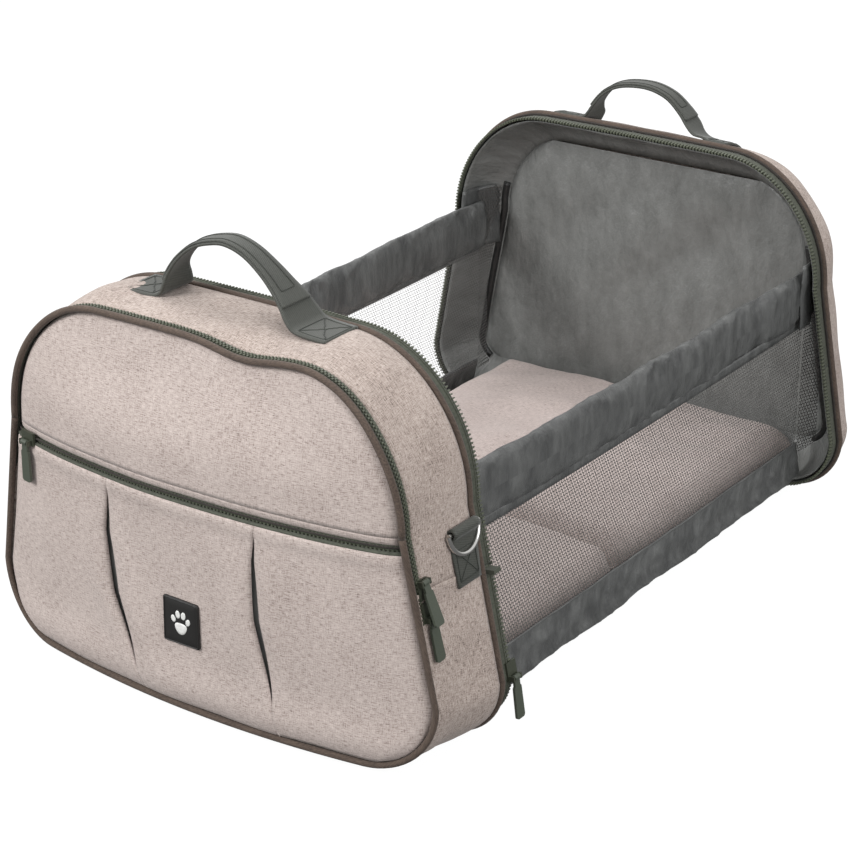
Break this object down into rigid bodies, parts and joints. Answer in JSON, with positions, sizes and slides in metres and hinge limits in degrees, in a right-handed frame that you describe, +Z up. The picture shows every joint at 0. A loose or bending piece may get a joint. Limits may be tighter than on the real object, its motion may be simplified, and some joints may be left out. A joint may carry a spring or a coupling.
{
  "type": "pet carrier bag",
  "caption": "Soft split-shell pet travel bag unzipped into an open bed with mesh sides, padded rails, a folding floor and two handles.",
  "frame": {"origin": "centre of the footprint, on the floor under the bag", "axes": "+X across to the side with the open zip ends, +Y from the front pocket shell to the rear shell, +Z up"},
  "size_m": [0.429, 0.6596, 0.341],
  "materials": {
    "heather": "matt melange weave",
    "piping": "matt",
    "zip_tape": "matt woven",
    "zip_metal": "satin",
    "zip_pull": "satin",
    "nickel": "polished",
    "webbing": "ribbed weave",
    "satin": "satin sheen",
    "mesh": "open hexagon mesh",
    "lining": "smooth",
    "mattress": "matt melange weave over foam",
    "base_cloth": "coated cloth",
    "label": "moulded",
    "stay": "satin"
  },
  "bodies": {
    "front_shell": {"front_gusset_top": "heather", "front_side_left": "heather", "front_side_right": "heather", "front_base": "base_cloth", "front_divider": "lining", "front_panel_lower": "heather", "pocket_left": "heather", "pocket_center": "heather", "pocket_right": "heather", "pleat_left": "lining", "pleat_right": "lining", "pocket_zip": "zip_tape", "label_patch": "label", "front_piping_lower": "piping", "comp_zip_shell": "zip_tape", "comp_zip_lower": "zip_tape", "rim_piping_front": "piping", "main_zip_front_upper": "zip_tape", "main_zip_front_lower": "zip_tape", "zip_tabs": "zip_tape", "dring_tab_left": "webbing", "dring_tab_right": "webbing", "handle_patches_front": "webbing", "top_rail_left": "satin", "top_rail_right": "satin", "mesh_left": "mesh", "mesh_right": "mesh", "bottom_band_left": "satin", "bottom_band_right": "satin"},
    "front_flap": {"front_panel_upper": "heather", "front_piping_upper": "piping", "comp_zip_upper": "zip_tape"},
    "floor_front": {"floor_board_front": "base_cloth", "mattress_front": "mattress"},
    "floor_rear": {"floor_board_rear": "base_cloth", "mattress_rear": "mattress"},
    "rear_shell": {"rear_gusset": "heather", "rear_base": "base_cloth", "rear_panel": "heather", "rear_lining": "lining", "rim_piping_rear": "piping", "main_zip_rear": "zip_tape", "corner_stays": "stay", "handle_patches_rear": "webbing"},
    "front_handle": {"handle_front": "webbing"},
    "rear_handle": {"handle_rear": "webbing"},
    "dring_left": {"dring_left": "nickel"},
    "dring_right": {"dring_right": "nickel"},
    "main_slider_right": {"main_slider_right": "zip_metal"},
    "main_slider_left": {"main_slider_left": "zip_metal"},
    "main_slider_upper": {"main_slider_upper": "zip_metal"},
    "main_pull_right": {"main_pull_right": "zip_pull"},
    "main_pull_left": {"main_pull_left": "zip_pull"},
    "main_pull_upper": {"main_pull_upper": "zip_pull"},
    "comp_slider_lower": {"comp_slider_lower": "zip_metal"},
    "comp_slider_upper": {"comp_slider_upper": "zip_metal"},
    "comp_pull_lower": {"comp_pull_lower": "zip_pull"},
    "comp_pull_upper": {"comp_pull_upper": "zip_pull"},
    "pocket_slider": {"pocket_slider": "zip_metal"},
    "pocket_pull": {"pocket_pull": "zip_pull"}
  },
  "joints": [
    {"name": "floor_fold_front", "type": "hinge", "parent": "front_shell", "child": "floor_front", "pos_m": [0, -0.2352, 0.0085], "axis": [1, 0, 0], "range_deg": [0, 87.52], "deforming": ["top_rail_left", "top_rail_right", "mesh_left", "mesh_right", "bottom_band_left", "bottom_band_right"]},
    {"name": "floor_fold_middle", "type": "hinge", "parent": "floor_front", "child": "floor_rear", "pos_m": [0, 0.0238, 0.002], "axis": [1, 0, 0], "range_deg": [-175.04, 0]},
    {"name": "floor_fold_rear", "type": "hinge", "parent": "floor_rear", "child": "rear_shell", "pos_m": [0, 0.2828, 0.0085], "axis": [1, 0, 0], "range_deg": [0, 87.52]},
    {"name": "front_flap_fold", "type": "hinge", "parent": "front_shell", "child": "front_flap", "pos_m": [0, -0.3282, 0.184], "axis": [1, 0, 0], "range_deg": [0, 80]},
    {"name": "front_handle_swing", "type": "hinge", "parent": "front_shell", "child": "front_handle", "pos_m": [0, -0.2522, 0.3095], "axis": [1, 0, 0], "range_deg": [-75, 75], "stiffness_Nm_per_rad": 0.08},
    {"name": "rear_handle_swing", "type": "hinge", "parent": "rear_shell", "child": "rear_handle", "pos_m": [0, 0.2998, 0.3035], "axis": [1, 0, 0], "range_deg": [-75, 75], "stiffness_Nm_per_rad": 0.08},
    {"name": "dring_right_swing", "type": "hinge", "parent": "front_shell", "child": "dring_right", "pos_m": [0.18534, -0.2482, 0.17206], "axis": [0, -1, 0], "range_deg": [0, 150]},
    {"name": "dring_left_swing", "type": "hinge", "parent": "front_shell", "child": "dring_left", "pos_m": [-0.18534, -0.2482, 0.17206], "axis": [0, 1, 0], "range_deg": [0, 150]},
    {"name": "main_slider_right_slide", "type": "slide", "parent": "front_shell", "child": "main_slider_right", "axis": [-0.1988, 0, 0.98], "range_m": [0, 0.066]},
    {"name": "main_pull_right_swing", "type": "hinge", "parent": "main_slider_right", "child": "main_pull_right", "pos_m": [0.20917, -0.2176, 0.0521], "axis": [0, -1, 0], "range_deg": [0, 140]},
    {"name": "main_slider_left_slide", "type": "slide", "parent": "front_shell", "child": "main_slider_left", "axis": [0.1988, 0, 0.98], "range_m": [0, 0.038]},
    {"name": "main_pull_left_swing", "type": "hinge", "parent": "main_slider_left", "child": "main_pull_left", "pos_m": [-0.20917, -0.2176, 0.0521], "axis": [0, 1, 0], "range_deg": [0, 140]},
    {"name": "main_slider_upper_slide", "type": "slide", "parent": "front_shell", "child": "main_slider_upper", "axis": [0.1988, 0, 0.98], "range_m": [0, 0.032]},
    {"name": "main_pull_upper_swing", "type": "hinge", "parent": "main_slider_upper", "child": "main_pull_upper", "pos_m": [-0.19152, -0.2176, 0.1391], "axis": [0, 1, 0], "range_deg": [0, 130]},
    {"name": "comp_slider_lower_slide", "type": "slide", "parent": "front_shell", "child": "comp_slider_lower", "axis": [-0.1986, -0.0465, 0.979], "range_m": [0, 0.007]},
    {"name": "comp_slider_upper_slide", "type": "slide", "parent": "comp_slider_lower", "child": "comp_slider_upper", "axis": [-0.1986, -0.0456, 0.979], "range_m": [0, 0.007]},
    {"name": "comp_pull_lower_swing", "type": "hinge", "parent": "comp_slider_lower", "child": "comp_pull_lower", "pos_m": [0.19395, -0.2959, 0.1271], "axis": [0.0092, -0.9989, -0.0455], "range_deg": [0, 28]},
    {"name": "comp_pull_upper_swing", "type": "hinge", "parent": "comp_slider_upper", "child": "comp_pull_upper", "pos_m": [0.1888, -0.29709, 0.15249], "axis": [0.0091, -0.999, -0.0447], "range_deg": [0, 120]},
    {"name": "pocket_slider_slide", "type": "hinge", "parent": "front_shell", "child": "pocket_slider", "pos_m": [0, 0.50326, 0.177], "axis": [0, 0, 1], "range_deg": [0, 20]},
    {"name": "pocket_pull_swing", "type": "hinge", "parent": "pocket_slider", "child": "pocket_pull", "pos_m": [-0.15096, -0.31926, 0.1744], "axis": [-0.9836, 0.1805, 0], "range_deg": [-4, 140]}
  ],
  "couplings": [
    {"joint": "floor_fold_middle", "follows": "floor_fold_front", "ratio": -2},
    {"joint": "floor_fold_rear", "follows": "floor_fold_front", "ratio": 1}
  ]
}
